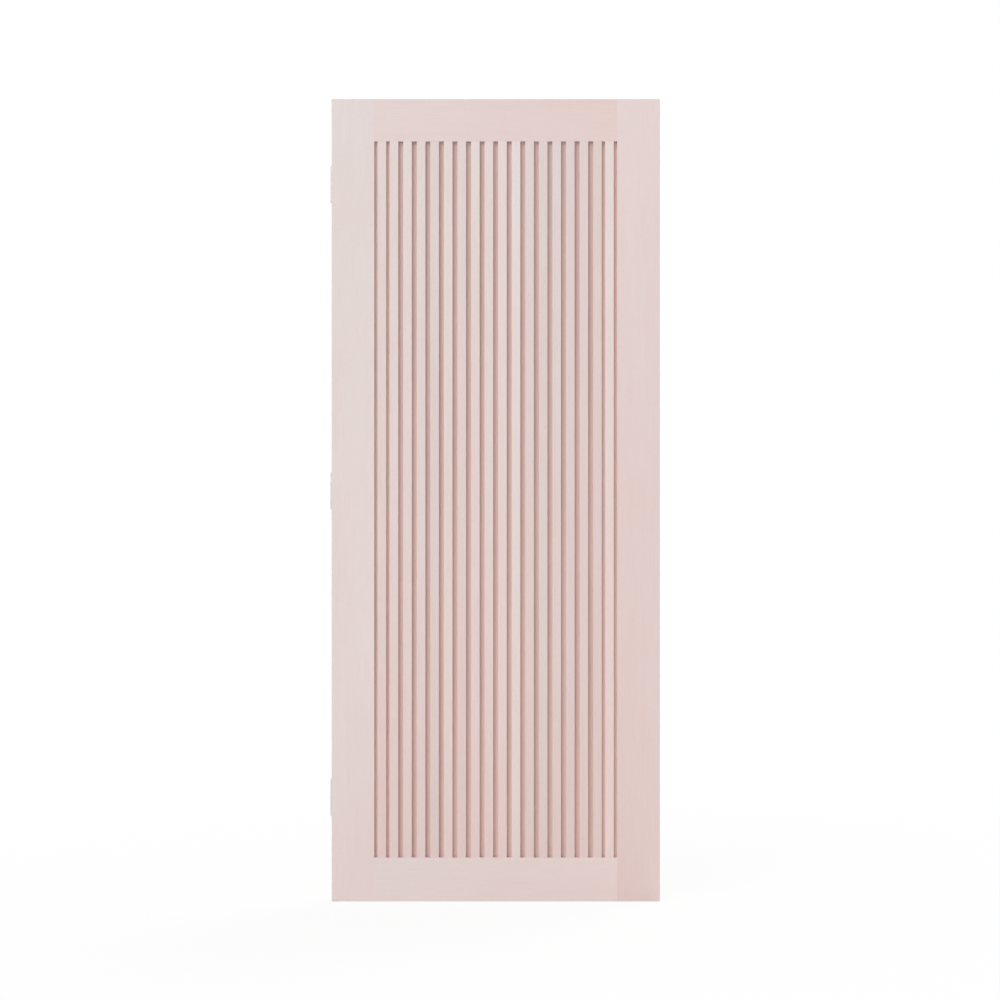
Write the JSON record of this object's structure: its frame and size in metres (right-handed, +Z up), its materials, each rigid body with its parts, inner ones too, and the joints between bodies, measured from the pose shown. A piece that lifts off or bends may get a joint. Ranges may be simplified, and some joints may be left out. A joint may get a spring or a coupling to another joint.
{
  "type": "slatted solid wood door",
  "caption": "Tall solid wood door leaf of stiles, rails and upright flush slats with narrow closed gaps, hung on butt hinges at its left edge.",
  "frame": {"origin": "middle of the leaf's bottom edge, halfway through its thickness", "axes": "+X to the right across the leaf seen from the front, +Y from the front face to the back face, +Z up"},
  "size_m": [0.9061, 0.0515, 2.2],
  "materials": {
    "frame_wood": "planed, unfinished",
    "slat_wood": "planed, unfinished",
    "strip_wood": "planed, unfinished",
    "dowel_wood": "turned, unfinished",
    "hinge_steel": "satin",
    "screw_steel": "satin"
  },
  "bodies": {
    "jamb_side": {"bottom_hinge_frame_leaf": "hinge_steel", "middle_hinge_frame_leaf": "hinge_steel", "top_hinge_frame_leaf": "hinge_steel", "bottom_hinge_pin": "hinge_steel", "middle_hinge_pin": "hinge_steel", "top_hinge_pin": "hinge_steel"},
    "door_leaf": {"left_stile": "frame_wood", "right_stile": "frame_wood", "top_rail": "frame_wood", "bottom_rail": "frame_wood", "slat_01": "slat_wood", "slat_02": "slat_wood", "slat_03": "slat_wood", "slat_04": "slat_wood", "slat_05": "slat_wood", "slat_06": "slat_wood", "slat_07": "slat_wood", "slat_08": "slat_wood", "slat_09": "slat_wood", "slat_10": "slat_wood", "slat_11": "slat_wood", "slat_12": "slat_wood", "slat_13": "slat_wood", "slat_14": "slat_wood", "slat_15": "slat_wood", "slat_16": "slat_wood", "slat_17": "slat_wood", "slat_18": "slat_wood", "gap_strip_01": "strip_wood", "gap_strip_02": "strip_wood", "gap_strip_03": "strip_wood", "gap_strip_04": "strip_wood", "gap_strip_05": "strip_wood", "gap_strip_06": "strip_wood", "gap_strip_07": "strip_wood", "gap_strip_08": "strip_wood", "gap_strip_09": "strip_wood", "gap_strip_10": "strip_wood", "gap_strip_11": "strip_wood", "gap_strip_12": "strip_wood", "gap_strip_13": "strip_wood", "gap_strip_14": "strip_wood", "gap_strip_15": "strip_wood", "gap_strip_16": "strip_wood", "gap_strip_17": "strip_wood", "gap_strip_18": "strip_wood", "gap_strip_19": "strip_wood", "top_left_dowels": "dowel_wood", "top_right_dowels": "dowel_wood", "bottom_left_dowels": "dowel_wood", "bottom_right_dowels": "dowel_wood", "bottom_hinge_door_leaf": "hinge_steel", "middle_hinge_door_leaf": "hinge_steel", "top_hinge_door_leaf": "hinge_steel", "hinge_screws": "screw_steel"}
  },
  "joints": [
    {"name": "leaf_swing", "type": "hinge", "parent": "jamb_side", "child": "door_leaf", "pos_m": [-0.4506, 0.026, 1.1], "axis": [0, 0, 1], "range_deg": [0, 180]}
  ]
}
